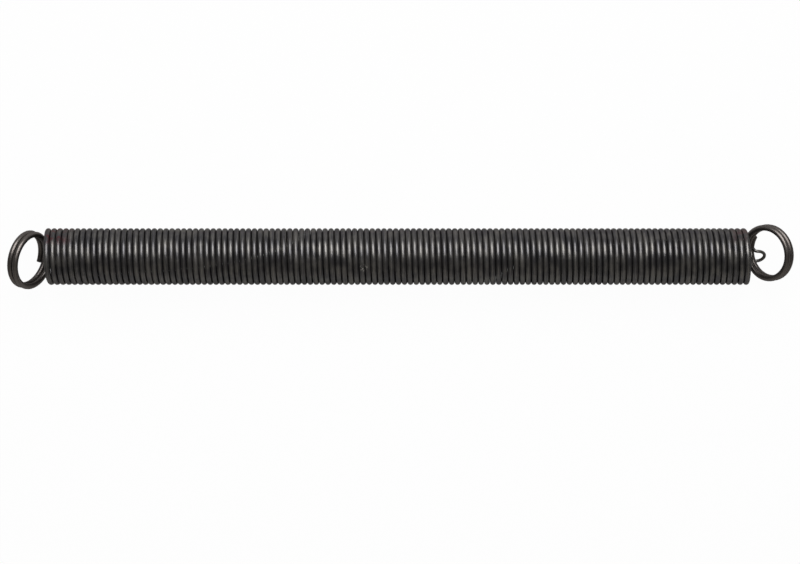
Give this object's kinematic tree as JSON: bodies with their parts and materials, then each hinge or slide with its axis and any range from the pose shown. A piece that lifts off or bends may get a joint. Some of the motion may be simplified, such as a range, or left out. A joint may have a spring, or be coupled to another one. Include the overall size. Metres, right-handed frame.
{
  "type": "extension spring",
  "caption": "Long close-wound extension spring of dark oil-tempered wire with double-turn end loops and a lighter spring with raised half loops inside its bore.",
  "frame": {"origin": "centre of the eye of the left end loop, where the spring is hooked up", "axes": "+X along the coil from the left loop to the right loop, +Z up towards the side that the picture shows, +Y up in the picture"},
  "size_m": [0.7018, 0.0584, 0.0589],
  "materials": {
    "main_wire": "black oil-tempered drawn wire, satin, slightly streaked",
    "inner_wire": "dark grey drawn wire, satin"
  },
  "bodies": {
    "root": {"main_spring": "main_wire", "inner_spring": "inner_wire"}
  },
  "joints": []
}
